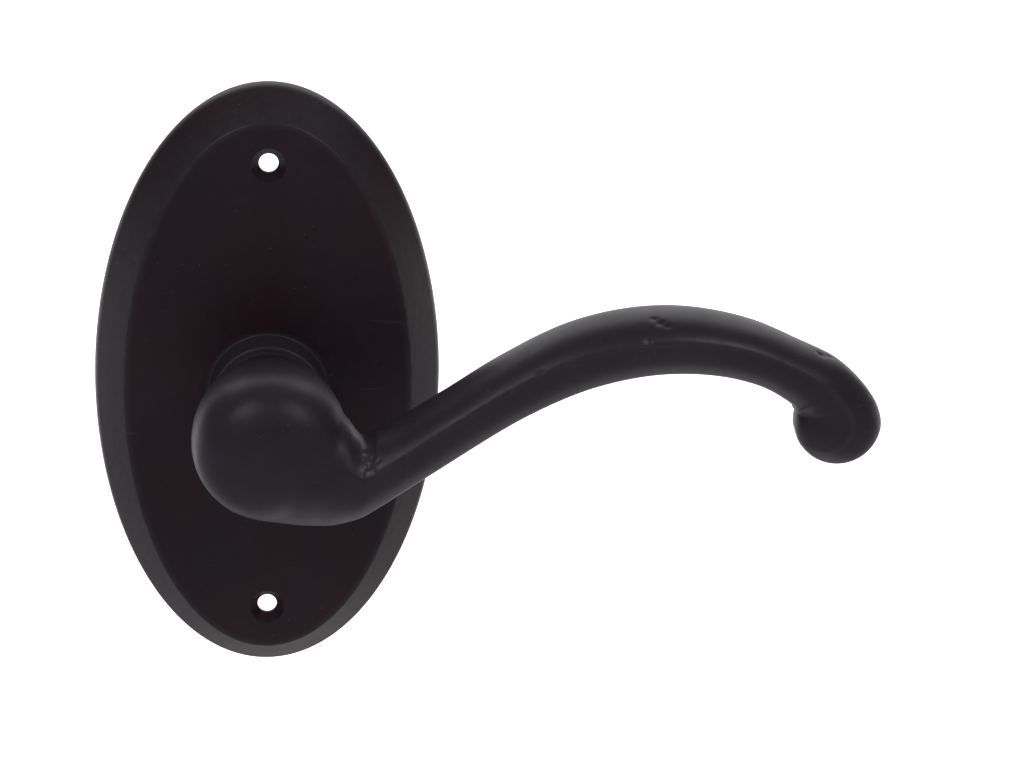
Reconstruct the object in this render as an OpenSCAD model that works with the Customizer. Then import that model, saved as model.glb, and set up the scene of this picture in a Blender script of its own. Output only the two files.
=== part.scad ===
// Sprung door lever on an oval rose, one side of a door.
// Frame: origin on the spindle axis at the door's face, -Y out of the door, +X along the arm, +Z up.
// The cassette and the spindle reach back (+Y) into the door.

/* [Rose plate] */
// Width of the oval rose
rose_w = 80; // [76:1:100]
// Height of the oval rose
rose_h = 142; // [136:1:180]
// Thickness of the rose, from the door to its flat face
rose_t = 10.5; // [10:0.5:13]
// Height of the straight edge against the door
edge_h = 2; // [1:0.5:3]
// Width of the bevel, from the outline in to the flat face
bevel_run = 7; // [5:0.5:9]
// Thickness of the rose's front wall
face_wall = 3; // [2.5:0.5:4]
// Width of the rim that bears on the door
rim_w = 6.5; // [5:0.5:8]

/* [Rose screw holes] */
// Distance between the two screw holes
screw_spacing = 108; // [104:1:116]
// Diameter of the screw holes
screw_hole_d = 4.5; // [4:0.1:5.5]
// Diameter of the countersink
sink_d = 8; // [7:0.5:10]
// Depth of the countersink
sink_depth = 2.2; // [1.5:0.1:2.4]

/* [Boss and bush] */
// How far the boss stands out of the rose's face
boss_len = 6.5; // [5:0.5:9]
// Wall of the boss at its front
boss_wall = 2.45; // [2:0.05:4]
// How much wider the boss is at its foot, on the radius
boss_taper = 0.9; // [0:0.1:2]
// Wall of the bronze bush
bush_wall = 1.8; // [1.2:0.1:2.5]
// Thickness of the bush's flange and of the thrust washer
washer_t = 1; // [0.8:0.1:1.5]

/* [Lever] */
// Distance from the door to the front of the hub
projection = 57.5; // [52:0.5:70]
// Largest radius of the hub
hub_r = 17.4; // [15:0.1:21]
// Distance from the door to the widest ring of the hub
hub_mid = 43; // [38:0.5:46]
// Distance from the door to the middle of the arm
arm_out = 45; // [42:0.5:50]
// Reach from the spindle axis to the middle of the scroll
arm_reach = 127.5; // [105:0.5:160]
// Half the depth of the arm, front to back
arm_half_depth = 8.6; // [7:0.1:10]
// Radius of the scroll's button
scroll_r = 9.2; // [8:0.1:11]
// Largest turn of the lever
turn_max = 50; // [30:1:60]

/* [Spindle and shank] */
// Size of the square spindle, across its flats
spindle_af = 8; // [7:0.1:10]
// Length of the spindle behind the door's face
spindle_back = 48; // [40:1:70]
// Thinnest wall of the shank over the spindle's corners
rear_wall = 1.75; // [1.5:0.05:2.5]
// Step from the rear journal out to the front journal, on the radius
journal_step = 1.6; // [1.2:0.1:2.5]
// Thread radius of the grub screw
grub_r = 2.5; // [2:0.5:3]

/* [Cassette] */
// Outer radius of the cassette, which goes in the door's 54 mm bore
case_r = 26; // [21.5:0.5:31]
// Wall of the cassette and of its cover
case_wall = 1.5; // [1.2:0.1:2]
// How far the cassette reaches behind the door's face
case_back = 8; // [8:0.5:12]
// Thickness of the drive cam
cam_t = 3; // [2.5:0.5:4]
// Width of the cam's stop tongue and of its spring lug
tongue_w = 6; // [5:0.5:7]
// Direction of the stop tongue at rest, from the arm's side up
tongue_at = 115; // [105:1:125]
// Direction of the spring lug at rest
lug_at = 250; // [245:1:255]
// Radius of a stop pin
pin_r = 1.5; // [1.2:0.1:2]
// Wall of a rubber stop sleeve
sleeve_wall = 1.1; // [0.8:0.1:1.5]
// Radius of the screws that hold the cassette
case_screw_r = 1.5; // [1.2:0.1:2]
// Radius of the screws that hold the cover
cover_screw_r = 1; // [0.8:0.1:1.2]

/* [Return spring] */
// Diameter of the spring's wire
wire_d = 1.8; // [1.4:0.1:2]
// Full turns of the coil
coil_turns = 3; // [2:1:3]
// Direction of the fixed leg
fixed_leg_at = 300; // [295:1:310]

/* [Clearances] */
// Radial gap of a running fit
run_gap = 0.05; // [0.02:0.01:0.1]
// Gap between faces that slide past each other
face_gap = 0.1; // [0.05:0.05:0.3]
// Gap around a piece that is slipped on and fixed
slip_gap = 0.1; // [0.05:0.05:0.2]

/* [Hidden] */
$fn = 96;
eps = 0.01;

bronze = [0.17, 0.14, 0.14];
bush_bronze = [0.62, 0.45, 0.24];
zinc = [0.66, 0.67, 0.68];
steel = [0.55, 0.56, 0.58];
spring_steel = [0.30, 0.31, 0.33];
rubber = [0.10, 0.10, 0.10];
nylon = [0.86, 0.85, 0.80];

// Radii on the spindle axis, each from the one inside it
rear_r = spindle_af * sqrt(2) / 2 + rear_wall;
shank_r = rear_r + journal_step;
flat_half = rear_r + slip_gap;
bush_r = shank_r + run_gap + bush_wall;
boss_front_r = bush_r + boss_wall;
boss_base_r = boss_front_r + boss_taper;
neck_lip = 0.5;
neck_r = bush_r + neck_lip;
flange_lip = 1.3;
flange_r = bush_r + flange_lip;
rear_bush_r = rear_r + run_gap + bush_wall;
groove_depth = 0.8;
groove_r = rear_r - groove_depth;

// Places along the spindle axis, from the front to the back
pocket_y = face_wall - rose_t;
boss_y = -rose_t - boss_len;
shoulder_y = boss_y - washer_t - face_gap;
neck_len = 2;
flare_y = shoulder_y - neck_len;
grub_y = flare_y - 0.7;
bore_past_grub = 6;
bore_end_y = grub_y - bore_past_grub;
seat_len = 1.5;
seat_y = pocket_y + seat_len;
cam_y = seat_y + washer_t + face_gap;
cam_back_y = cam_y + cam_t;
groove_w = 1;
clip_y = cam_back_y + face_gap;
cover_y = case_back - case_wall;
wave_y = case_back + face_gap;
wave_h = 1.2;
retainer_y = wave_y + wave_h + face_gap;
circlip_y = retainer_y + washer_t + face_gap;
shank_tip = 1.2;
shank_end_y = circlip_y + groove_w + shank_tip;

// Rings on which the cassette's pieces stand
case_inner_r = case_r - case_wall;
sleeve_r = pin_r + sleeve_wall;
sleeve_room = 1;
stop_ring_r = case_inner_r - sleeve_r - sleeve_room;
lug_half = 2;
lug_room = 2;
lug_ring_r = case_inner_r - lug_half - lug_room;
stop_angle = asin((tongue_w / 2 + sleeve_r + face_gap / 2) / stop_ring_r);
stop_angles = [tongue_at + stop_angle, tongue_at - turn_max - stop_angle];
ear_angles = [45:90:315];
ear_wall = 3;
ear_r = case_screw_r + ear_wall;
ear_ring_r = case_r + ear_r;
pad_r = ear_r - 0.5;
ear_t = 1.5;
head_t = 1.8;
head_room = 0.7;
ear_y = -head_t - ear_t - head_room;
post_angles = [0:120:240];
post_wall = 1.3;
post_r = cover_screw_r + post_wall;
post_in_rim = 0.6;
post_ring_r = case_inner_r - post_r + post_in_rim;
pin_socket = 1.5;
screw_socket = 1.2;
screw_bite = 0.8;
screw_slip = 0.02;

// Spring: the coil runs forward from its fixed leg to the leg that the cam's lug pushes
wire_r = wire_d / 2;
coil_r = (shank_r + lug_ring_r) / 2 - 0.6;
coil_back_y = cover_y - wire_r - face_gap;
coil_front_y = cam_back_y + wire_r + 2 * face_gap;
moving_leg_at = lug_at - asin((tongue_w / 2 + wire_r + face_gap) / (lug_ring_r - lug_half));
coil_sweep = 360 * coil_turns + fixed_leg_at - moving_leg_at;
leg_room = 1.5;
leg_end_r = case_inner_r - leg_room;
leg_bend = [0.7, 2.2];
post_pin_r = 1.6;
post_pin_at = fixed_leg_at - asin((post_pin_r + wire_r + face_gap / 2) / lug_ring_r);

// Pieces are drawn about a Z axis, or as a front view, and turned to stand along Y
module along_y() { rotate([-90, 0, 0]) children(); }
module rod(y0, y1, r) { translate([0, y0, 0]) along_y() cylinder(h = y1 - y0, r = r); }
module slab(y0, y1) { translate([0, y1, 0]) rotate([90, 0, 0]) linear_extrude(y1 - y0) children(); }
module ring_at(r, angle) { translate([r * cos(angle), 0, r * sin(angle)]) children(); }
module tube(y0, y1, r_in, r_out) {
    difference() {
        rod(y0, y1, r_out);
        rod(y0 - 1, y1 + 1, r_in);
    }
}

// Closed skin through a list of rings, each with the same number of points
module skin(rings) {
    n = len(rings[0]);
    last = len(rings) - 1;
    sides = [
        for (i = [0:last - 1], j = [0:n - 1])
        let (a = i * n + j, b = i * n + (j + 1) % n)
        each [[a, b, a + n], [b, b + n, a + n]]
    ];
    front = [for (j = [n - 1:-1:0]) j];
    back = [for (j = [0:n - 1]) last * n + j];
    polyhedron(points = [for (ring = rings) each ring], faces = concat([front], sides, [back]));
}

// Curve through four points in turn, at t from the second to the third
function pass(a, b, c, d, t) =
    0.5 * (2 * b + (c - a) * t + (2 * a - 5 * b + 4 * c - d) * t * t + (3 * b - a - 3 * c + d) * t * t * t);
function smooth_rows(rows, steps) = [
    for (i = [0:len(rows) - 2], k = [0:steps - 1])
    pass(rows[max(i - 1, 0)], rows[i], rows[i + 1], rows[min(i + 2, len(rows) - 1)], k / steps),
    rows[len(rows) - 1]
];

// Rose: a bevelled oval casting, hollow behind, with a boss for the lever's shank
module oval(grow) { scale([rose_w / 2 + grow, rose_h / 2 + grow]) circle(r = 1, $fn = 128); }
module rose_blank() {
    hull() {
        slab(-edge_h, 0) oval(0);
        slab(-rose_t, -rose_t + eps) oval(-bevel_run);
    }
}
seat_wall = 3;
module rose_plate() {
    color(bronze) difference() {
        union() {
            difference() {
                rose_blank();
                slab(pocket_y, 1) oval(-rim_w);
            }
            translate([0, boss_y, 0]) along_y()
                cylinder(h = boss_len + eps, r1 = boss_front_r, r2 = boss_base_r);
            rod(pocket_y - eps, seat_y, bush_r + seat_wall);
            for (angle = ear_angles) ring_at(ear_ring_r, angle) rod(pocket_y - eps, ear_y, pad_r);
        }
        rod(boss_y - 1, seat_y + 1, bush_r);
        for (angle = ear_angles)
            ring_at(ear_ring_r, angle) rod(pocket_y - screw_socket, 1, case_screw_r);
        for (angle = stop_angles)
            ring_at(stop_ring_r, angle) rod(pocket_y - pin_socket, 1, pin_r);
        for (z = [-screw_spacing / 2, screw_spacing / 2]) translate([0, 0, z]) screw_hole();
    }
}
module screw_hole() {
    rod(-rose_t - 1, 1, screw_hole_d / 2);
    translate([0, -rose_t - eps, 0]) along_y()
        cylinder(h = sink_depth + eps, r1 = sink_d / 2, r2 = screw_hole_d / 2);
}

// Bush: turned bronze, pressed into the boss, its flange against the lever's shoulder
module neck_bush() {
    color(bush_bronze) {
        difference() {
            union() {
                rod(boss_y, seat_y - 0.2, bush_r);
                rod(boss_y - washer_t, boss_y, flange_r);
            }
            rod(boss_y - 2 * washer_t, seat_y + 1, shank_r + run_gap);
        }
    }
}

// Lever: one casting of shank, neck, hub, arm and scroll
hub_depth = projection - hub_mid;
hub_roundness = 2.7;
tip_chamfer = 0.5;
function flare_point(t) = [neck_r + (hub_r - neck_r) * sin(90 * t), flare_y + (-hub_mid - flare_y) * t];
function rounded(share) = pow(share, 2 / hub_roundness);
function dome_point(a) = [hub_r * rounded(cos(a)), -hub_mid - hub_depth * rounded(sin(a))];
module hub_and_shank() {
    along_y() rotate_extrude() polygon(concat(
        [[0, shank_end_y], [rear_r - tip_chamfer, shank_end_y], [rear_r, shank_end_y - tip_chamfer]],
        [[rear_r, circlip_y + groove_w], [groove_r, circlip_y + groove_w]],
        [[groove_r, circlip_y], [rear_r, circlip_y]],
        [[rear_r, clip_y + groove_w], [groove_r, clip_y + groove_w]],
        [[groove_r, clip_y], [rear_r, clip_y], [rear_r, cam_back_y]],
        [[shank_r, cam_back_y], [shank_r, shoulder_y], [neck_r, shoulder_y]],
        [for (t = [0:0.1:1]) flare_point(t)],
        [for (a = [10:10:80]) dome_point(a)],
        [[0, -projection]]
    ));
}

// The arm's stations: x, z, half height, half depth, crest height and lean of the section.
// Beyond the root they stretch with arm_reach.
root_x = 29;
scroll_x = 127.5;
arm_rows = [
    [  2,  -1.8, 14.4, 10.0, 0,    0],
    [  9,  -3.0, 14.4, 10.3, 0,    0],
    [ 14,  -5.2, 11.8,  9.6, 0.02, 0],
    [20.5, -7.4,  7.9,  8.8, 0.08, 0],
    [ 29,  -2.6,  6.8,  1,   0.16, 33],
    [ 41,   5.2,  6.8,  1,   0.16, 33],
    [ 54,  13.6,  7.0,  1,   0.16, 30],
    [ 70,  21.2,  7.5,  1,   0.16, 18],
    [ 89,  24.4,  7.3,  1,   0.15, 0],
    [105,  22.2,  6.6,  0.97, 0.12, -14],
    [114,  18.6,  6.2,  0.94, 0.08, -29],
    [121.5, 13.2, 7.2,  0.9, 0.04, -42],
    [scroll_x, 5.6, scroll_r, 0.9, 0, -62],
];
crest_at = 14;
crest_w = 26;
section_power = 2.3;
section_points = 28;
row_steps = 4;
reach_stretch = (arm_reach - root_x) / (scroll_x - root_x);
function stretched(x) = x <= root_x ? x : root_x + (x - root_x) * reach_stretch;
function half_depth(v) = v < 2 ? v * arm_half_depth : v;
function section_radius(a, h, d) =
    pow(pow(abs(cos(a)) / d, section_power) + pow(abs(sin(a)) / h, section_power), -1 / section_power);
function crest(a, k) = 1 + k * exp(-abs(a - crest_at) / crest_w);
function turned_to(a) = a > 180 + crest_at ? a - 360 : a;
function section(x, z, h, d, k, lean, ahead = 0, size = 1) = [
    for (j = [0:section_points - 1])
    let (a = turned_to(360 * j / section_points))
    let (r = size * section_radius(a, h, d) * crest(a, k))
    let (up = r * sin(a), out = r * cos(a))
    [x + ahead * cos(lean) - up * sin(lean), -arm_out - out, z + ahead * sin(lean) + up * cos(lean)]
];
module arm() {
    stations = [for (s = arm_rows) [stretched(s[0]), s[1], s[2], half_depth(s[3]), s[4], s[5]]];
    rows = smooth_rows(stations, row_steps);
    tip = rows[len(rows) - 1];
    skin(concat(
        [for (s = rows) section(s[0], s[1], s[2], s[3], s[4], s[5])],
        [for (a = [15, 30, 45, 60, 75, 87])
            section(tip[0], tip[1], scroll_r, tip[3], 0, tip[5], scroll_r * sin(a), cos(a))]
    ));
}
module lever() {
    color(bronze) difference() {
        union() {
            hub_and_shank();
            arm();
        }
        for (side = [-1, 1])
            translate([-shank_r - 1, cam_y - face_gap, side * (flat_half + shank_r) - shank_r])
                cube([2 * shank_r + 2, cam_t + 2 * face_gap, 2 * shank_r]);
        slab(bore_end_y, shank_end_y + 1) square(spindle_af + 2 * slip_gap, center = true);
        translate([0, grub_y, -neck_r - 4]) cylinder(h = neck_r + 4, r = grub_r + run_gap);
    }
}

// Grub screw: under the neck, with a hexagon socket, its point on the spindle's flat
module grub_screw() {
    sunk = 1;
    length = neck_r - spindle_af / 2 - sunk;
    socket_depth = 2;
    socket_r = grub_r * 0.55;
    color(spring_steel) translate([0, grub_y, -spindle_af / 2 - length]) difference() {
        cylinder(h = length, r = grub_r);
        translate([0, 0, -1]) cylinder(h = socket_depth + 1, r = socket_r, $fn = 6);
    }
}

// Spindle: square steel bar that works the latch
module spindle() {
    end_gap = 0.5;
    color(steel) slab(bore_end_y + end_gap, spindle_back) square(spindle_af, center = true);
}

// Thrust washer: nylon, between the rose and the cam
washer_lip = 2.5;
module thrust_washer() {
    color(nylon) tube(seat_y, seat_y + washer_t, shank_r + 0.3, bush_r + washer_lip);
}

// Drive cam: steel, on the shank's flats, with a stop tongue and a lug that pushes the spring
module bar(angle, r0, r1) { rotate(angle) translate([r0, -tongue_w / 2]) square([r1 - r0, tongue_w]); }
cam_wall = 4.5;
tongue_past_pin = 1;
lug_len = 1.5 * wire_d;
module drive_cam() {
    color(steel) union() {
        slab(cam_y, cam_back_y) difference() {
            union() {
                circle(r = shank_r + cam_wall);
                bar(tongue_at, 0, stop_ring_r + tongue_past_pin);
                bar(lug_at, 0, lug_ring_r + lug_half);
            }
            intersection() {
                circle(r = shank_r + slip_gap);
                square([4 * shank_r, 2 * (flat_half + slip_gap)], center = true);
            }
        }
        slab(cam_y, cam_back_y + lug_len) bar(lug_at, lug_ring_r - lug_half, lug_ring_r + lug_half);
    }
}

// Open retaining rings in the shank's grooves; the rear one has two eyes for its pliers
module open_ring(groove_y, width, opening) {
    slab(groove_y + run_gap, groove_y + groove_w - run_gap) difference() {
        circle(r = rear_r + width);
        circle(r = groove_r + run_gap);
        translate([0, -opening / 2]) square([2 * (rear_r + width), opening]);
    }
}
module cam_clip() {
    color(spring_steel) open_ring(clip_y, 1.8, 5);
}
module circlip() {
    eye_r = 1.7;
    eye_at = [rear_r + 2, 0, 2.2 + eye_r];
    hole_r = 0.7;
    color(spring_steel) difference() {
        union() {
            open_ring(circlip_y, 1.6, 4.4);
            for (side = [-1, 1]) translate([eye_at[0], 0, side * eye_at[2]])
                rod(circlip_y + run_gap, circlip_y + groove_w - run_gap, eye_r);
        }
        for (side = [-1, 1]) translate([eye_at[0], 0, side * eye_at[2]])
            rod(circlip_y - 1, circlip_y + groove_w + 1, hole_r);
    }
}

// Return spring: a torsion coil, with both ends bent outwards as legs
function coil_point(r, angle, y) = [r * cos(angle), y, r * sin(angle)];
module return_spring() {
    steps = coil_turns * 22;
    fixed_leg = [leg_end_r, coil_r + leg_bend[1], coil_r + leg_bend[0]];
    moving_leg = [coil_r + leg_bend[0], coil_r + leg_bend[1], leg_end_r];
    path = concat(
        [for (r = fixed_leg) coil_point(r, fixed_leg_at, coil_back_y)],
        [for (i = [1:steps - 1]) coil_point(
            coil_r,
            fixed_leg_at - coil_sweep * i / steps,
            coil_back_y + (coil_front_y - coil_back_y) * i / steps
        )],
        [for (r = moving_leg) coil_point(r, moving_leg_at, coil_front_y)]
    );
    last = len(path) - 1;
    color(spring_steel) skin([
        for (i = [0:last])
        let (run = path[min(i + 1, last)] - path[max(i - 1, 0)])
        let (side = cross([0, 1, 0], run) / norm(cross([0, 1, 0], run)))
        let (lift = cross(run, side) / norm(cross(run, side)))
        [for (j = [0:7]) path[i] + wire_r * (side * cos(45 * j) + lift * sin(45 * j))]
    ]);
}

// Spring post: riveted in the cover, it holds the spring's fixed leg
module spring_post() {
    rivet_t = 0.6;
    rivet_lip = 0.8;
    color(steel) ring_at(lug_ring_r, post_pin_at) {
        rod(coil_back_y - wire_d, case_back, post_pin_r);
        rod(case_back, case_back + rivet_t, post_pin_r + rivet_lip);
    }
}

// Stops: steel pins in the rose's front wall, under rubber sleeves
sleeve_end_y = cam_back_y + 0.3;
module stop_pins() {
    color(steel) for (angle = stop_angles)
        ring_at(stop_ring_r, angle) rod(pocket_y - pin_socket, sleeve_end_y + 0.3, pin_r);
}
module stop_sleeves() {
    color(rubber) for (angle = stop_angles)
        ring_at(stop_ring_r, angle) tube(pocket_y, sleeve_end_y, pin_r, sleeve_r);
}

// Cassette case: a zinc ring with four ears for the rose's pads and three posts for the cover.
// Its full radius, which the door's bore locates, begins at the door's face.
post_len = 5;
post_hole = 4;
ear_hole_gap = 0.3;
ear_web_half = ear_r - 0.6;
barrel_step = 0.3;
module cassette_case() {
    color(zinc) difference() {
        union() {
            rod(pocket_y, eps, case_r - barrel_step);
            rod(0, cover_y, case_r);
            slab(ear_y, ear_y + ear_t) for (angle = ear_angles) rotate(angle) {
                translate([ear_ring_r, 0]) circle(r = ear_r);
                translate([0, -ear_web_half]) square([ear_ring_r, 2 * ear_web_half]);
            }
        }
        difference() {
            rod(pocket_y - 1, cover_y + 1, case_inner_r);
            for (angle = post_angles)
                ring_at(post_ring_r, angle) rod(cover_y - post_len, cover_y + 2, post_r);
        }
        for (angle = ear_angles) ring_at(ear_ring_r, angle) rod(ear_y - 1, 1, case_screw_r + ear_hole_gap);
        for (angle = post_angles)
            ring_at(post_ring_r, angle) rod(cover_y - post_hole, cover_y + 1, cover_screw_r);
    }
}

// Screw with a pan head and a cross slot: its tip at y_tip, the head's seat at y_seat, the head behind it
module pan_screw(y_tip, y_seat, r, head_r, head_h) {
    slot_half = head_r * 0.6;
    slot_w = head_r * 0.24;
    difference() {
        union() {
            rod(y_tip, y_seat, r);
            rod(y_seat, y_seat + head_h, head_r);
        }
        for (turn = [0, 90]) rotate([0, turn, 0])
            translate([-slot_half, y_seat + head_h / 2, -slot_w / 2])
                cube([2 * slot_half, head_h, slot_w]);
    }
}
module case_screws() {
    head_r = ear_r - 1.2;
    color(steel) for (angle = ear_angles) ring_at(ear_ring_r, angle)
        pan_screw(pocket_y - screw_bite, ear_y + ear_t, case_screw_r - screw_slip, head_r, head_t);
}
module back_cover() {
    color(zinc) difference() {
        rod(cover_y, case_back, case_r);
        rod(cover_y - 1, case_back + 1, rear_bush_r);
        ring_at(lug_ring_r, post_pin_at) rod(cover_y - 1, case_back + 1, post_pin_r);
        for (angle = post_angles)
            ring_at(post_ring_r, angle) rod(cover_y - 1, case_back + 1, cover_screw_r + slip_gap);
    }
}
module cover_screws() {
    tip_y = cover_y - post_hole + slip_gap;
    head_r = cover_screw_r + 0.9;
    color(steel) for (angle = post_angles) ring_at(post_ring_r, angle)
        pan_screw(tip_y, case_back, cover_screw_r - screw_slip, head_r, 1.2);
}

// Rear bush: nylon, its flange inside the cover
module rear_bush() {
    color(nylon) difference() {
        union() {
            rod(cover_y, case_back, rear_bush_r);
            rod(cover_y - washer_t, cover_y, rear_bush_r + flange_lip);
        }
        rod(cover_y - 2 * washer_t, case_back + 1, rear_r + run_gap);
    }
}

// Wave washer: takes up the play behind the cover
retainer_r = rear_r + 4.6;
module wave_washer() {
    r_in = rear_r + 0.4;
    r_out = retainer_r - 0.6;
    leaf = 0.4;
    swing = (wave_h - leaf) / 2;
    function at(r, a, y) = [r * cos(a), y, r * sin(a)];
    steps = 60;
    points = [for (i = [0:steps - 1])
        let (a = 360 * i / steps, y = wave_y + swing - swing * cos(3 * a))
        each [at(r_in, a, y), at(r_out, a, y), at(r_out, a, y + leaf), at(r_in, a, y + leaf)]];
    faces = [for (i = [0:steps - 1], j = [0:3])
        let (p = 4 * i + j, q = 4 * i + (j + 1) % 4, s = 4 * steps)
        each [[p, q, (p + 4) % s], [q, (q + 4) % s, (p + 4) % s]]];
    color(spring_steel) polyhedron(points = points, faces = faces);
}

// Retaining washer: steel, turns with the shank, held by the circlip
module retaining_washer() {
    color(steel) tube(retainer_y, retainer_y + washer_t, rear_r + slip_gap, retainer_r);
}

rose_plate();
neck_bush();
lever();
grub_screw();
thrust_washer();
drive_cam();
cam_clip();
return_spring();
spring_post();
stop_pins();
stop_sleeves();
cassette_case();
case_screws();
back_cover();
cover_screws();
rear_bush();
wave_washer();
retaining_washer();
circlip();
spindle();
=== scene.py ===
import math

import bmesh
import bpy
import numpy as np
from mathutils import Matrix, Vector


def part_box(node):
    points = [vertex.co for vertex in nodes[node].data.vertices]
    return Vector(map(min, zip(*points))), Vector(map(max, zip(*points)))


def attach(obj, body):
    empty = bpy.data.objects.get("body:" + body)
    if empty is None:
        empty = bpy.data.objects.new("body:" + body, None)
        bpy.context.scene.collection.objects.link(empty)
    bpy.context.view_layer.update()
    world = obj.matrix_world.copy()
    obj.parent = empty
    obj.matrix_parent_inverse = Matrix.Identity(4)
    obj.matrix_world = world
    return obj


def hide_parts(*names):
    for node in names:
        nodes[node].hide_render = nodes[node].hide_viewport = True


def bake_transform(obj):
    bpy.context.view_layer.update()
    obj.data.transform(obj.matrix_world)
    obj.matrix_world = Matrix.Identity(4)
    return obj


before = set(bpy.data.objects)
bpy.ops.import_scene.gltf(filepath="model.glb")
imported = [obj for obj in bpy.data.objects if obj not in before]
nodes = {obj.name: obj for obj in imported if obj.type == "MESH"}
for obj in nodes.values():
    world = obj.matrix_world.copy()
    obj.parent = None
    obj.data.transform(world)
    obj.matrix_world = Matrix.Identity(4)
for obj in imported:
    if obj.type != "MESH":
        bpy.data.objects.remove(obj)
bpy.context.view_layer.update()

# ---- The rose
# A hollow oval casting in bronze with a bevelled edge, two countersunk screw holes and a boss for the lever.
# It is sand-cast, linished on its face, then patinated almost black and oiled.
MM = 0.001
sharp_angle = math.radians(35)
rose_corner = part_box("rose_plate")[1]
rose_half = np.array([rose_corner.x, rose_corner.z]) / MM
rose_t = 10.5
face_wall, rim_w, bevel_run, edge_h = 3, 6.5, 7, 2
boss_y, boss_front_r, boss_base_r, boss_foot = -17, 12.9, 13.5, 1.1
bush_r = 10.86
seat_y, seat_r = -6, bush_r + 3
screw_z, screw_r, sink_r, sink_depth, drill_past = 54, 2.25, 4, 2.2, 0.5
ear_ring_r, pad_r, pad_y = 30.5, 4, -4


def softened(path, steps=5):
    """Path with its corners rounded: each row is a point and, last, how far the rounding reaches from it. A corner
    becomes the parabola through those two points that is tangent to both legs."""
    points, reach = np.array(path, float)[:, :-1], np.array(path, float)[:, -1]
    t = np.linspace(0, 1, steps)[:, None]
    made = [points[:1]]
    for p, q, r, d in zip(points[:-2], points[1:-1], points[2:], reach[1:-1]):
        a = q + (p - q) * (d / max(np.linalg.norm(p - q), 1e-9))
        b = q + (r - q) * (d / max(np.linalg.norm(r - q), 1e-9))
        made.append(a * (1 - t) ** 2 + 2 * q * t * (1 - t) + b * t**2 if d else q[None])
    return np.vstack(made + [points[-1:]])


def ovals(rows, count):
    """Rings round the Y axis, one a row of half width, half height and y: (a cos t, y, b sin t)."""
    t = np.arange(count) * 2 * np.pi / count
    a, b, y = (np.asarray(rows, float)[:, i, None] for i in range(3))
    return np.stack([a * np.cos(t), y + 0 * t, b * np.sin(t)], -1)


def skin(name, rings, ring_loop=False, marks=None):
    """Mesh of a grid of points in millimetres, closed round each ring. It is closed from the last ring to the first,
    or each end gets a pole at its middle. Marks are values at the points, kept as attributes."""
    rows, count = rings.shape[:2]
    index = np.arange(rows * count).reshape(rows, count)
    below = index if ring_loop else index[:-1]
    above = np.roll(index, -1, 0) if ring_loop else index[1:]
    quads = np.stack([below, np.roll(below, -1, 1), np.roll(above, -1, 1), above], -1).reshape(-1, 4)
    points = rings.reshape(-1, 3)
    faces = quads.tolist()
    for ring in () if ring_loop else (index[0], index[-1]):
        points = np.vstack([points, points[ring].mean(0)])
        faces += np.stack([ring, np.roll(ring, -1), np.full(count, len(points) - 1)], -1).tolist()
    mesh = bpy.data.meshes.new(name)
    mesh.from_pydata(points * MM, [], faces)
    for mark, values in (marks or {}).items():
        flat = np.zeros(len(points), np.float32)
        flat[: values.size] = values.ravel()
        mesh.attributes.new(mark, "FLOAT", "POINT").data.foreach_set("value", flat)
    made = bmesh.new()
    made.from_mesh(mesh)
    bmesh.ops.remove_doubles(made, verts=made.verts, dist=1e-7)
    bmesh.ops.dissolve_degenerate(made, edges=made.edges, dist=1e-7)
    bmesh.ops.recalc_face_normals(made, faces=made.faces)
    made.to_mesh(mesh)
    made.free()
    mesh.shade_smooth()
    mesh.set_sharp_from_angle(angle=sharp_angle)
    piece = bpy.data.objects.new(name, mesh)
    bpy.context.scene.collection.objects.link(piece)
    return piece


def rod(name, y0, y1, r, at=(0, 0)):
    """Closed cylinder along Y, from y0 to y1, at x and z."""
    return skin(name, ovals([[r, r, y0], [r, r, y1]], 48) + np.array([at[0], 0, at[1]]))


def cut(piece, tools, operation="DIFFERENCE"):
    """The piece with the tools taken off it, or joined to it, one after the other."""
    for tool in tools:
        change = piece.modifiers.new("cut", "BOOLEAN")
        change.operation, change.solver, change.object = operation, "EXACT", tool
        bpy.context.view_layer.objects.active = piece
        bpy.ops.object.modifier_apply(modifier=change.name)
        bpy.data.objects.remove(tool)
    piece.data.set_sharp_from_angle(angle=sharp_angle)
    return piece


pocket_y = face_wall - rose_t
half_w, half_h = rose_half
face_w, face_h = rose_half - bevel_run
hollow_w, hollow_h = rose_half - rim_w
# Half width, half height, y, and how far the rounding of that corner reaches
profile = [
    [bush_r, bush_r, seat_y + 0.3, 0],
    [bush_r, bush_r, boss_y, 0.25],
    [boss_front_r, boss_front_r, boss_y, 0.6],
    [boss_base_r, boss_base_r, -rose_t, 0.5],
    [boss_base_r + 1.2, boss_base_r + 1.2, -rose_t, 0],
    [boss_base_r + 4, boss_base_r + 6, -rose_t, 0],
    [face_w - 1.5, face_h - 1.5, -rose_t, 0],
    [face_w, face_h, -rose_t, 0.45],
    [half_w, half_h, -edge_h, 1.7],
    [half_w, half_h, 0, 0.3],
    [hollow_w, hollow_h, 0, 0.3],
    [hollow_w, hollow_h, pocket_y, 1],
    [seat_r, seat_r, pocket_y, 0.5],
    [seat_r, seat_r, seat_y, 0.2],
    [bush_r, bush_r, seat_y, 0],
]
rings = ovals(softened(profile), 288)
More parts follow.
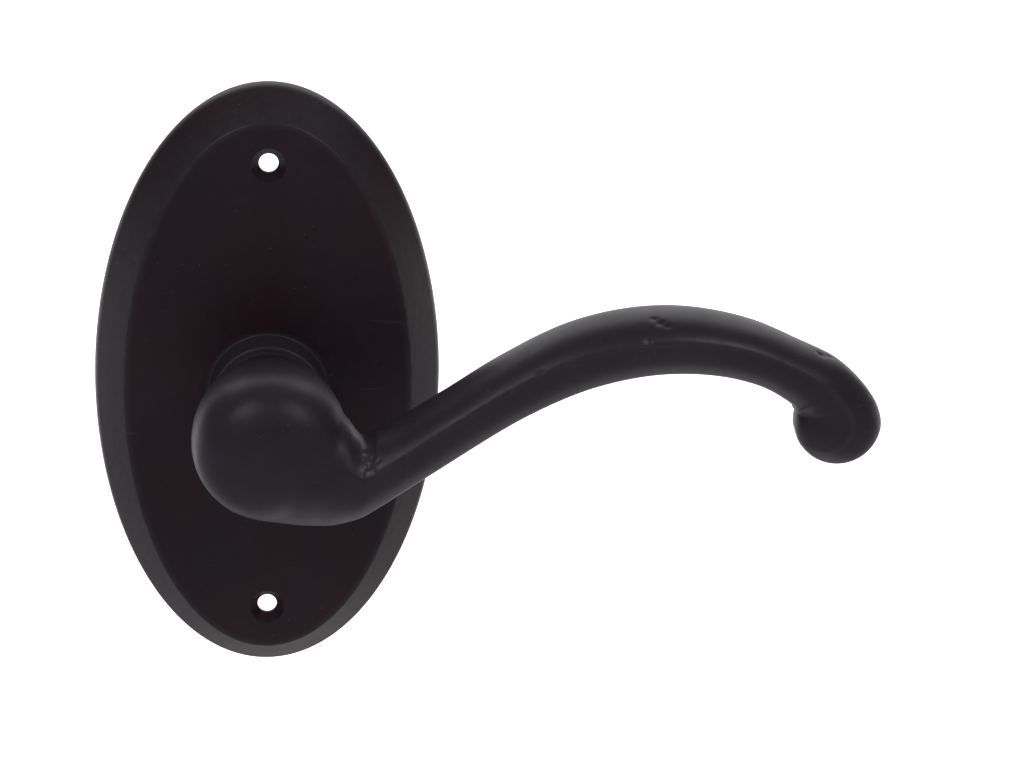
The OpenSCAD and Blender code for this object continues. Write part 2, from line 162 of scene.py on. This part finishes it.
# Scuffs and a painted highlight fall off as a bell curve from three edges, the face's, the rim's and the boss's
face_fall, rim_fall, boss_fall = 60, 0.5, 0.3
ring_y, from_axis = rings[..., 1], np.hypot(rings[..., 0], rings[..., 2])
across = np.hypot(rings[..., 0] / face_w, rings[..., 2] / face_h)
edge = np.exp(-(((across - 1) * face_fall) ** 2)) * (ring_y < -8)
rim = np.exp(-((ring_y + edge_h) ** 2) / rim_fall) * (across > 1.05)
boss_rim = np.exp(-((ring_y - boss_y) ** 2) / boss_fall)
# The boss is tinted greyer and bluer all over
boss = np.clip((boss_base_r + boss_foot - from_axis) / boss_foot, 0, 1) * (ring_y < -rose_t + 0.1)
marks = {"wear_and_sheen": np.clip(edge + rim + boss_rim, 0, 1), "boss_tint": boss}
rose = skin("rose", rings, ring_loop=True, marks=marks)
pads = [
    rod("pad", pocket_y - 1, pad_y, pad_r, (ear_ring_r * math.cos(a), ear_ring_r * math.sin(a)))
    for a in np.radians([45, 135, 225, 315])
]
cut(rose, pads, "UNION")
# One turned tool a hole: the sink, which runs on past the face, and the bore
wide_r = sink_r + drill_past * (sink_r - screw_r) / sink_depth
drill = [[wide_r, wide_r, -rose_t - drill_past], [screw_r, screw_r, -rose_t + sink_depth], [screw_r, screw_r, 1]]
cut(rose, [skin("hole", ovals(drill, 64) + np.array([0, 0, side * screw_z])) for side in (-1, 1)])


class Shade:
    """A value that varies over a surface. Its operators add Math nodes, and node() adds any other node."""

    def __init__(self, tree, socket=None):
        self.tree, self.socket = tree, socket

    def node(self, kind, settings=None, inputs=None, out=0):
        made = self.tree.nodes.new("ShaderNode" + kind)
        for key, value in (settings or {}).items():
            setattr(made, key, value)
        for key, value in (inputs or {}).items():
            if isinstance(value, Shade):
                self.tree.links.new(value.socket, made.inputs[key])
            else:
                made.inputs[key].default_value = value
        return Shade(self.tree, made.outputs[out])

    def math(self, operation, a, b=0.0):
        return self.node("Math", {"operation": operation}, {0: a, 1: b})

    def __add__(self, other):
        return self.math("ADD", self, other)

    def __sub__(self, other):
        return self.math("SUBTRACT", self, other)

    def __rsub__(self, other):
        return self.math("SUBTRACT", other, self)

    def __mul__(self, other):
        return self.math("MULTIPLY", self, other)

    __radd__, __rmul__ = __add__, __mul__

    def __pow__(self, other):
        return self.math("POWER", self, other)

    def over(self, low, high):
        """0 below low and 1 above high, easing between."""
        return self.node("MapRange", {"interpolation_type": "SMOOTHSTEP"}, {0: self, 1: low, 2: high})

    def between(self, a, b):
        """Colour a where this is 0, and b where it is 1."""
        as_colour = [c if isinstance(c, Shade) else (*c, 1) for c in (a, b)]
        return self.node("Mix", {"data_type": "RGBA"}, {0: self, 6: as_colour[0], 7: as_colour[1]}, 2)

    def noise(self, scale, detail=3, rough=0.5, stretch=(1, 1, 1)):
        """Cloudy noise over the piece, with so many features a metre."""
        spot = self.node("TexCoord", out=3)
        place = self.node("Mapping", {}, {"Vector": spot, "Scale": stretch})
        return self.node("TexNoise", {}, {"Vector": place, "Scale": scale, "Detail": detail, "Roughness": rough})

    def cells(self, scale):
        """Distance to the nearest of scattered points, with so many a metre."""
        return self.node("TexVoronoi", {}, {"Vector": self.node("TexCoord", out=3), "Scale": scale})

    def mark(self, name):
        """Value that skin() kept at the points under this name, or 0."""
        return self.node("Attribute", {"attribute_name": name}, out=2)


def finish(name, paint, **constants):
    """Material: the shader's own sockets take the constants, and paint(start) gives what varies."""
    made = bpy.data.materials.new(name)
    made.use_nodes = True
    tree = made.node_tree
    shader = tree.nodes["Principled BSDF"]
    for key, value in constants.items():
        shader.inputs[key.replace("_", " ")].default_value = value
    for key, value in paint(Shade(tree)).items():
        tree.links.new(value.socket, shader.inputs[key])
    return made


def patina(name, face, cool):
    """Dark oiled bronze: two close browns in soft clouds, a fine cast grain, pinholes, hairline scratches, marked
    edges a little lighter and smoother, partly scuffed and partly a painted highlight, and a greyer brown all over
    the boss."""

    def paint(s):
        cloud = s.noise(38, 4, 0.55).over(0.35, 0.68)
        mottle = s.noise(310, 3, 0.6).over(0.3, 0.75)
        grain = s.noise(2600, 2, 0.6)
        pin = 1 - s.cells(420).over(0.02, 0.07)
        pin = pin * s.noise(90, 1).over(0.46, 0.52)
        scratch = s.noise(260, 2, 0.5, (0.18, 1, 2.6)).over(0.70, 0.76)
        # Marked edges and the crest: partly scuffs, partly a painted highlight that lightens the colour
        worn_and_sheen = s.mark("wear_and_sheen") * (0.6 + 0.4 * s.noise(520, 3).over(0.25, 0.7))
        colour = cloud.between(face, cool)
        colour = (s.mark("boss_tint") * 0.8).between(colour, (0.027, 0.024, 0.031))
        colour = (mottle * 0.3).between(colour, [c * 1.35 for c in face])
        colour = (pin * 0.7).between(colour, (0.10, 0.09, 0.095))
        colour = (scratch * 0.35).between(colour, (0.040, 0.033, 0.036))
        colour = (worn_and_sheen * 0.4).between(colour, (0.040, 0.037, 0.040))
        height = grain * 0.35 + s.noise(700, 3, 0.6) * 0.65 - scratch * 0.3 - pin * 0.8
        return {
            "Base Color": colour,
            "Roughness": 0.40 + 0.05 * cloud + 0.04 * mottle - 0.06 * worn_and_sheen,
            "Normal": s.node("Bump", {}, {"Height": height, "Strength": 0.22, "Distance": 0.00025}),
        }

    return finish(name, paint, Metallic=0.0, Specular_IOR_Level=0.22)


rose.data.materials.append(patina("oiled_bronze_rose", (0.0155, 0.0052, 0.0075), (0.0090, 0.0055, 0.0105)))
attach(rose, "rose")
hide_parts("rose_plate")

# ---- The neck bush
# A turned bronze bush pressed into the boss, dull like the castings, its colour painted lighter to cancel the shade
# in the gap between the boss and the hub. Its flange keeps the lever's shoulder off the boss.


def turned(name, colour, rough, fine=1500):
    """Machined metal: fine rings of the tool, and a little unevenness in its colour and gloss."""

    def paint(s):
        cloud = s.noise(120, 3).over(0.3, 0.7)
        rings = s.noise(fine, 2, 0.5, (0.05, 1, 0.05))
        spots = s.noise(900, 2).over(0.62, 0.7)
        dark = [c * 0.72 for c in colour]
        return {
            "Base Color": (spots * 0.25).between(cloud.between(colour, dark), [c * 0.5 for c in colour]),
            "Roughness": rough + 0.1 * cloud + 0.1 * rings,
            "Normal": s.node("Bump", {}, {"Height": rings + 0.3 * spots, "Strength": 0.2, "Distance": 0.0001}),
        }

    return finish(name, paint, Metallic=1.0)


def carried(material, *names):
    """Pieces that keep the shape they were built with, and take the material."""
    for name in names:
        piece = nodes[name]
        piece.data.materials.clear()
        piece.data.materials.append(material)


# The bush's colour is painted light, against the shade in the gap round it
carried(turned("aged_bronze_painted_light", (0.085, 0.072, 0.085), 0.6), "neck_bush")

# ---- The lever
# One bronze casting with the rose's finish: a shank that runs in the bushes, a neck, a rounded hub, an arched arm
# with a crest along it, and a scroll. It is drawn as sections carried from the shank's tip to the scroll's end.
neck_r, hub_r, dome_power = 11.36, 17.4, 2.7
shoulder_out, flare_out, hub_mid, projection = 18.1, 20.1, 43, 57.5
shank_r, rear_r, groove_r, flat_half = 9.01, 7.41, 6.61, 7.51
shank_end, bore_end, bore_half = 12.7, -26.8, 4.1
flats_front, flats_back = -5, -1.9
grooves = [(-1.8, -0.8), (10.5, 11.5)]
tip_chamfer, shoulder_chamfer = 0.5, 0.3
arm_out, squareness = 45, 2.3
crest_at, crest_w, crest_soft = 15, 26, 4
button, button_r, button_deep, button_power = np.array([126.8, 5.4]), 9.9, 7.8, 2.4
corner = np.array([115.9, 8.2])
grub_y, tap_r = -20.8, 2.55
ring_step, count, search_r = 0.6, 240, 34.0
around = np.arange(count) * 360 / count
cos_a, sin_a = np.cos(np.radians(around)), np.sin(np.radians(around))
#     x, z of the middle, half height, half depth, crest, lean
arm_rows = [
    [-8, -1, 14.3, 9, 0, 0],
    [-1, -2.5, 15.1, 9.8, 0, 0],
    [4, -3.4, 15.1, 10.1, 0, 0],
    [9, -4.3, 14.6, 10.2, 0, 0],
    [14, -5.4, 13.4, 9.7, 0.06, 0],
    [17, -6.2, 11.9, 9.2, 0.12, 0],
    [20.5, -7.8, 9, 8.8, 0.16, 0],
    [24, -5.9, 8.6, 8.7, 0.18, 1],
    [29, -2.8, 7.6, 8.6, 0.16, 10],
    [41, 5.2, 6.8, 8.6, 0.16, 33],
    [54, 13.6, 7, 8.6, 0.16, 30],
    [70, 21.2, 7.5, 8.6, 0.16, 18],
    [89, 24.4, 7.3, 8.6, 0.15, 0],
    [105, 22.2, 6.6, 8.3, 0.12, -14],
    [114, 18.6, 6.3, 8.1, 0.1, -29],
]


def eased(t):
    """From 0 to 1 as t goes from 0 to 1, flat at both ends."""
    t = np.clip(t, 0, 1)
    return t * t * (3 - 2 * t)


def through(rows, step, turn_share=0.12):
    """Smooth curve through the rows, each of x, z and other values, the last an angle: a cubic between two rows. The
    slope at a row is the mean of the two on its sides, the nearer one counting more. How far apart two rows are is
    the length between their points, and a share of the angle they turn by."""
    rows = np.asarray(rows, float)
    gaps = np.hypot(*np.diff(rows[:, :2], axis=0).T) + turn_share * np.abs(np.diff(rows[:, -1]))
    at = np.r_[0, np.cumsum(gaps)]
    slopes = np.diff(rows, axis=0) / gaps[:, None]
    before, after = gaps[:-1, None], gaps[1:, None]
    mean = (slopes[:-1] * after + slopes[1:] * before) / (before + after)
    tangents = np.vstack([slopes[:1], mean, slopes[-1:]])
    t = np.linspace(0, at[-1], int(at[-1] / step))
    i = np.clip(np.searchsorted(at, t, "right") - 1, 0, len(gaps) - 1)
    h, u = gaps[i, None], ((t - at[i]) / gaps[i])[:, None]
    ends = rows[i] * (1 + 2 * u) * (1 - u) ** 2 + rows[i + 1] * u**2 * (3 - 2 * u)
    return ends + h * u * (1 - u) * (tangents[i] * (1 - u) - tangents[i + 1] * u)


def scroll_rows(steps=11):
    """Sections of the scroll, in planes that fan about the corner under it. The first are given by their near and
    far ends. The others are chords of the round button: half as long as its radius times cos u, with the depth of a
    superellipse, down to where the fan touches it."""
    #   turn, near, far, half depth, crest
    lead = [
        [52, 1.1, 15.2, 8, 0.11],
        [42, 0.8, 15.6, 8, 0.11],
        [27, 0.8, 16.6, 7.9, 0.1],
        [13, 1, 18.2, 7.9, 0.07],
        [2, 1.2, 19.8, 7.8, 0.05],
    ]
    lead_turn, near, far, lead_deep, lead_crest = np.array(lead).T
    reach = np.hypot(*(button - corner))
    towards = np.degrees(np.arctan2(button[1] - corner[1], button[0] - corner[0]))
    u = np.radians(np.linspace(-4, 90, steps))
    off = np.arcsin(button_r / reach * np.sin(u))
    middle, half = reach * np.cos(off), button_r * np.cos(u)
    deep = button_deep * np.clip(1 - np.abs(np.sin(u)) ** button_power, 0, 1) ** (1 / button_power)
    turn = np.r_[lead_turn, towards - np.degrees(off)]
    middle, half, deep = np.r_[(near + far) / 2, middle], np.r_[(far - near) / 2, half], np.r_[lead_deep, deep]
    crest = np.r_[lead_crest, lead_crest[-1] * np.cos(u) ** 2]
    x, z = corner[:, None] + middle * np.stack([np.cos(np.radians(turn)), np.sin(np.radians(turn))])
    return np.stack([x, z, half, deep, crest, turn - 90], -1).tolist()


def from_crest(angle):
    """Degrees from the crest, from -180 to 180."""
    return (angle - crest_at + 180) % 360 - 180


def section_r(angle, half, deep, crest):
    """Radius of a section at an angle: a superellipse, swelled towards the crest by a share that falls off on both
    sides of it as the exponential of the angle, with the crest's very top eased over a few degrees."""
    c, s = np.abs(np.cos(np.radians(angle))), np.abs(np.sin(np.radians(angle)))
    round_ = ((c / deep) ** squareness + (s / half) ** squareness) ** (-1 / squareness)
    return round_ * (1 + crest * np.exp(-(np.hypot(from_crest(angle), crest_soft) - crest_soft) / crest_w))


def hub_field(x, out, z):
    """Distance, less than 0 inside, from a solid turned about the spindle's axis: the neck flares out to the widest
    ring as a quarter of a sine wave, and a superellipse domes the front."""
    ring = np.hypot(x, z)
    t = np.clip((out - flare_out) / (hub_mid - flare_out), 0, 1)
    flank = ring - (neck_r + (hub_r - neck_r) * np.sin(np.pi / 2 * t))
    ahead = np.clip(out - hub_mid, 0, None) / (projection - hub_mid)
    dome = ((ring / hub_r) ** dome_power + ahead**dome_power) ** (1 / dome_power)
    return np.where(out > hub_mid, hub_r * (dome - 1), flank)


def root_field(x, out, z):
    """Distance from the arm's root, whose sections stand upright: how far the point lies outside the section at
    its x, or short of the first section."""
    middle, half, deep, crest = (np.interp(x, stations[:, 0], stations[:, i]) for i in (1, 2, 3, 4))
    away = np.hypot(out - arm_out, z - middle)
    angle = np.degrees(np.arctan2(z - middle, out - arm_out)) % 360
    return np.maximum(away - section_r(angle, half, deep, crest), arm_rows[0][0] - x)


def joined(f, g, soft):
    """Union of two solids given by distances, with a fillet about `soft` wide where they meet."""
    h = np.clip(0.5 + 0.5 * (g - f) / soft, 0, 1)
    return g + (f - g) * h - soft * h * (1 - h)


stations = through(arm_rows + scroll_rows(), ring_step)
# The rings are square to the spindle along the neck. Then their planes fan by a quarter turn about an upright line
# at fan_x and fan_out, until they are square to X as the arm's sections are
fan_x, fan_out = 23, 29
neck_outs = np.linspace(shoulder_out, fan_out, 22)[:-1]
turn = np.linspace(0, np.pi / 2, 90)
share = eased(turn / (np.pi / 2))
reach = fan_x * (1 - share) + (arm_out - fan_out) * share
still = np.zeros(len(neck_outs))
middle_x = np.r_[still, fan_x - reach * np.cos(turn)][:, None]
middle_out = np.r_[neck_outs, fan_out + reach * np.sin(turn)][:, None]
middle_z = np.r_[still, share * np.interp(fan_x, stations[:, 0], stations[:, 1])][:, None]
ahead_x, ahead_out = np.r_[still - 1, -np.cos(turn)][:, None], np.r_[still, np.sin(turn)][:, None]


def hub_point(r):
    """Point at each ring's radii: out along its plane's own direction and up."""
    return middle_x + r * cos_a * ahead_x, middle_out + r * cos_a * ahead_out, middle_z + r * sin_a


# Each radius is found by halving, thirty times, between the middle and a ring well outside the hub. The fillet is
# narrow above the arm's root and widens below it, most of all away from the spindle
inside, outside = np.zeros((len(middle_x), count)), np.full((len(middle_x), count), search_r)
for _ in range(30):
    half_way = (inside + outside) / 2
    x, out, z = hub_point(half_way)
    fillet = 0.7 + 3.5 * eased((-2 - z) / 7) * (0.12 + 0.88 * eased((x - 2) / 9))
    solid = joined(hub_field(x, out, z), root_field(x, out, z), fillet) < 0
    inside, outside = np.where(solid, half_way, inside), np.where(solid, outside, half_way)
x, out, z = hub_point(inside)
out = np.maximum(out, shoulder_out)
hub_rings = np.stack([x, -out, z], -1)

first = int(np.argmax(stations[:, 0] > fan_x))
x, z, half, deep, crest, lean = (c[:, None] for c in stations[first:-1].T)
r = section_r(around, half, deep, crest)
up, ahead, lean = r * sin_a, r * cos_a, np.radians(lean)
arm_rings = np.stack([x - up * np.sin(lean), -(arm_out + ahead), z + up * np.cos(lean)], -1)

# Radius, y, and whether it has the two flats that drive the cam
shank = [
    [rear_r - tip_chamfer, shank_end, 0],
    [rear_r, shank_end - tip_chamfer, 0],
    [rear_r, grooves[1][1], 0],
    [groove_r, grooves[1][1], 0],
    [groove_r, grooves[1][0], 0],
    [rear_r, grooves[1][0], 0],
    [rear_r, grooves[0][1], 0],
    [groove_r, grooves[0][1], 0],
    [groove_r, grooves[0][0], 0],
    [rear_r, grooves[0][0], 0],
    [rear_r, flats_back, 0],
    [shank_r, flats_back, 1],
    [shank_r, flats_front, 1],
    [shank_r, flats_front, 0],
    [shank_r, -shoulder_out, 0],
    [neck_r - shoulder_chamfer, -shoulder_out, 0],
]
square = bore_half / np.maximum(np.abs(cos_a), np.abs(sin_a))
shank_rings = []
for r, y, flats in shank:
    r = np.minimum(r, flat_half / np.maximum(np.abs(sin_a), 1e-6)) if flats else r + 0 * cos_a
    shank_rings.append(np.stack([-r * cos_a, y + 0 * r, r * sin_a], -1))
bore_rings = [np.stack([-square * cos_a, y + 0 * square, square * sin_a], -1) for y in (bore_end, shank_end)]
rings = np.concatenate([bore_rings, shank_rings, hub_rings, arm_rings])

# Small casting and handling marks: where it is, how wide, how deep
dents = [
    [(84.2, -50.1, 30.9), 0.7, 0.35],
    [(85.4, -51.4, 30.4), 0.9, 0.45],
    [(86.9, -52.2, 29.9), 0.7, 0.35],
    [(82.8, -54.5, 27.1), 0.8, 0.35],
    [(122.2, -47.3, 21.7), 1.0, 0.5],
    [(124, -46, 20.6), 0.8, 0.4],
    [(59.3, -54.5, 20), 0.7, 0.25],
    [(21.1, -50.8, -0.1), 0.7, 0.3],
    [(22.6, -52.6, -0.7), 0.6, 0.3],
    [(21.7, -53.7, -2.4), 0.7, 0.35],
    [(23.7, -53.7, -1), 0.5, 0.25],
    [(20.6, -54, -4.4), 0.7, 0.35],
    [(20, -52.4, -1.6), 0.6, 0.35],
    [(22.9, -54.6, -3.4), 0.5, 0.25],
]
middles = rings.mean(1, keepdims=True)
for place, wide, depth in dents:
    near = np.exp(-((rings - place) ** 2).sum(-1, keepdims=True) / wide**2)
    rings = rings + near * depth * (middles - rings) / np.linalg.norm(middles - rings, axis=-1, keepdims=True)
# Scuffs and a painted highlight lie along the arm's crest, and most on the rough patch where the crest begins
along = np.r_[np.zeros(len(rings) - len(arm_rings)), np.ones(len(arm_rings))][:, None]
wear_and_sheen = np.exp(-((from_crest(around) / 5) ** 2)) * along
rough_sheen_patch = 2.2 * np.exp(-((rings - (21.7, -53, -1.5)) ** 2).sum(-1) / 8)
lever = skin("lever_casting", rings, marks={"wear_and_sheen": np.clip(np.maximum(wear_and_sheen, rough_sheen_patch), 0, 2)})
tap = rod("tap", 0, neck_r + 4, tap_r)
tap.data.transform(Matrix.Translation((0, grub_y * MM, 0)) @ Matrix.Rotation(math.radians(-90), 4, "X"))
cut(lever, [tap])
lever.data.materials.append(patina("oiled_bronze_lever", (0.0175, 0.0125, 0.0172), (0.0140, 0.0110, 0.0172)))
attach(lever, "lever")
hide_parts("lever")

# ---- The lever's fixings
# Blackened spring steel: a grub screw under the neck, a clip that keeps the cam on, and at the back a wave washer
# that takes up the play and a circlip in the shank's groove.
carried(turned("black_steel", (0.045, 0.046, 0.05), 0.38), "grub_screw", "cam_clip", "circlip", "wave_washer")

# ---- The spindle, cam, pins, post, screws and retaining washer
# Steel, bright zinc plated. The spindle is in the shank's square bore and the cam on its flats. The stop pins are in
# the rose's front wall, the post is riveted in the cover, and the screws hold the case and its cover.


def plated(name):
    """Zinc plate on steel: pale, a little blue, with faint cloudy spangle and fine scuffs."""

    def paint(s):
        cloud = s.noise(160, 4, 0.6).over(0.3, 0.7)
        scuff = s.noise(500, 2, 0.5, (1, 0.1, 1)).over(0.6, 0.75)
        return {
            "Base Color": cloud.between((0.50, 0.51, 0.53), (0.40, 0.42, 0.46)),
            "Roughness": 0.26 + 0.12 * cloud + 0.14 * scuff,
            "Normal": s.node("Bump", {}, {"Height": scuff + 0.5 * cloud, "Strength": 0.15, "Distance": 0.0001}),
        }

    return finish(name, paint, Metallic=1.0)


carried(plated("zinc_plate"), "spindle", "drive_cam", "stop_pins", "spring_post", "case_screws", "cover_screws",
        "retaining_washer")

# ---- The cassette
# The case and its cover are zinc die castings: dull, slightly grainy, with soft flow marks. The case's four ears
# are screwed to the pads in the rose, and the cover closes it behind.


def die_cast(name):
    """Dull zinc: a soft grey with flow marks and a fine skin of grain."""

    def paint(s):
        flow = s.noise(70, 4, 0.6, (1, 1, 0.4)).over(0.3, 0.7)
        grain = s.noise(2400, 2)
        return {
            "Base Color": flow.between((0.36, 0.365, 0.37), (0.27, 0.275, 0.285)),
            "Roughness": 0.46 + 0.12 * flow + 0.08 * grain,
            "Normal": s.node("Bump", {}, {"Height": grain + 0.4 * flow, "Strength": 0.3, "Distance": 0.00015}),
        }

    return finish(name, paint, Metallic=0.9)


carried(die_cast("cast_zinc"), "cassette_case", "back_cover")

# ---- Washers, rear bush and stop sleeves
# The thrust washer, between the rose and the cam, and the rear bush, in the cover, are moulded in natural nylon.
# The sleeves on the stop pins are black rubber.


def moulded(name, colour, rough, soft):
    """Moulded plastic or rubber: one colour with slight clouds, and a fine moulded skin."""

    def paint(s):
        cloud = s.noise(150, 3).over(0.3, 0.7)
        grain = s.noise(1800, 2)
        return {
            "Base Color": cloud.between(colour, [c * 0.86 for c in colour]),
            "Roughness": rough + 0.08 * grain + 0.05 * cloud,
            "Normal": s.node("Bump", {}, {"Height": grain, "Strength": soft, "Distance": 0.0001}),
        }

    return finish(name, paint, Metallic=0.0)


carried(moulded("natural_nylon", (0.62, 0.59, 0.48), 0.42, 0.1), "thrust_washer", "rear_bush")
carried(moulded("stop_rubber", (0.018, 0.018, 0.018), 0.62, 0.3), "stop_sleeves")

# ---- The return spring
# Hard-drawn steel wire, wound in a coil round the shank. One leg bears on the post and the cam's lug pushes the
# other, so it winds up as the lever turns.
wire_r, coil_r, coil_turns = 0.9, 14.16, 3
coil_back, coil_front = 5.5, -0.8
fixed_leg_at, moving_leg_at = 300, 237.5
# How far a leg's points are from the axis, from its tip to where it bends into the coil
leg = [23, coil_r + 2.2, coil_r + 0.7]


def tube(path, r, count=16):
    """Rings round a path, each square to it there: r cos t along the direction nearest to Y, and r sin t along the
    third."""
    ahead = np.gradient(path, axis=0)
    ahead /= np.linalg.norm(ahead, axis=1, keepdims=True)
    across = np.array([0, 1, 0]) - ahead * ahead[:, 1:2]
    across /= np.linalg.norm(across, axis=1, keepdims=True)
    t = (np.arange(count) * 2 * np.pi / count)[:, None]
    return path[:, None] + r * (np.cos(t) * across[:, None] + np.sin(t) * np.cross(ahead, across)[:, None])


sweep = 360 * coil_turns + fixed_leg_at - moving_leg_at
share = np.linspace(0, 1, 22 * coil_turns + 1)[1:-1]
r = np.r_[leg, coil_r + 0 * share, leg[::-1]]
angle = np.radians(np.r_[[fixed_leg_at] * 3, fixed_leg_at - sweep * share, [moving_leg_at] * 3])
y = np.r_[[coil_back] * 3, coil_back + (coil_front - coil_back) * share, [coil_front] * 3]
wire = through(np.stack([r * np.cos(angle), r * np.sin(angle), y], -1), 0.8)[:, [0, 2, 1]]
spring = skin("spring_wire_coil", tube(wire, wire_r))
spring.data.materials.append(turned("spring_wire", (0.16, 0.16, 0.175), 0.3, fine=2600))
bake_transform(spring)
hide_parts("return_spring")

# ---- The camera, the floor and the lights
# A long lens, a pale floor that glows, broad softboxes behind and overhead, and two small ones in front, to the
# left and right, that make the pair of highlights on the hub.
aim, distance = Vector((0.0572, 0, -0.0022)), 0.9
turn, rise, roll = map(math.radians, (-4.611, 19.671, 1.489))
away = Vector((math.sin(turn) * math.cos(rise), -math.cos(turn) * math.cos(rise), math.sin(rise)))
lens = bpy.data.cameras.new("camera")
lens.sensor_width, lens.lens = 36, 135
camera = bpy.data.objects.new("camera", lens)
right = (-away).cross(Vector((0, 0, 1))).normalized()
upward = right.cross(-away)
side = right * math.cos(roll) + upward * math.sin(roll)
top = upward * math.cos(roll) - right * math.sin(roll)
axes = Matrix((side, top, away)).transposed().to_4x4()
camera.matrix_world = Matrix.Translation(aim + away * distance) @ axes
bpy.context.scene.collection.objects.link(camera)
bpy.context.scene.camera = camera

# The floor is a light table: white behind, dim in front and below the object but for a patch under the arm, and a
# little blue on the left
floor_z, floor_half = -0.25, 6
floor_mesh = bpy.data.meshes.new("floor")
corners = [(x * floor_half, y * floor_half, floor_z) for x, y in ((-1, -1), (1, -1), (1, 1), (-1, 1))]
floor_mesh.from_pydata(corners, [], [(0, 1, 2, 3)])
floor = bpy.data.objects.new("floor", floor_mesh)
bpy.context.scene.collection.objects.link(floor)


def lit_table(s):
    """Glow of the table: shares that ease in behind the object and to its sides, each with its own colour."""
    place = s.node("SeparateXYZ", {}, {0: s.node("TexCoord", out=3)})
    x, y = place, Shade(s.tree, place.socket.node.outputs[1])
    below, front, left, right = (0.11, 0.105, 0.125), (0.25, 0.24, 0.28), (0.34, 0.36, 0.56), (0.31, 0.29, 0.30)
    under_arm, white = (1.1, 1.05, 1.05), (1.25, 1.25, 1.25)
    glow = (0 - y).over(0.35, 0.6).between(below, front)
    glow = (0 - x).over(0.15, 0.7).between(glow, left)
    glow = x.over(0.2, 0.9).between(glow, right)
    patch = 1 - ((x - 0.09) ** 2 + (y + 0.05) ** 2).over(0.004, 0.016)
    glow = patch.between(glow, under_arm)
    return {"Emission Color": y.over(0.2, 0.42).between(glow, white)}


floor_mesh.materials.append(finish("light_table", lit_table, Base_Color=(0.6, 0.6, 0.6, 1), Emission_Strength=1))


def softbox(name, place, at, wide, high, glow):
    """White rectangular area light that faces a point; its glow is the brightness of its face."""
    light = bpy.data.lights.new(name, "AREA")
    light.shape, light.size, light.size_y = "RECTANGLE", wide, high
    light.energy = glow * math.pi * wide * high
    box = bpy.data.objects.new(name, light)
    box.location = place
    box.rotation_euler = (Vector(at) - Vector(place)).to_track_quat("-Z", "Y").to_euler()
    bpy.context.scene.collection.objects.link(box)


#       name, where it is, what it faces, width, height, glow
softbox("back", (0.06, 1.7, 0.6), (0.06, 0, 0), 2.6, 1.5, 1.3)
softbox("over_left", (-0.34, -0.52, 0.46), (0, -0.03, 0), 0.14, 0.14, 22)
softbox("over_right", (0.38, -0.52, 0.46), (0.04, -0.03, 0), 0.14, 0.14, 22)
softbox("overhead", (0.08, 0.52, 0.75), (0.05, 0, 0), 1.4, 0.5, 2.2)
world = bpy.data.worlds.new("studio")
world.use_nodes = True
sky = world.node_tree.nodes["Background"].inputs
sky["Color"].default_value, sky["Strength"].default_value = (1, 1, 1, 1), 0.22
bpy.context.scene.world = world
bpy.context.scene.view_settings.view_transform = "Standard"
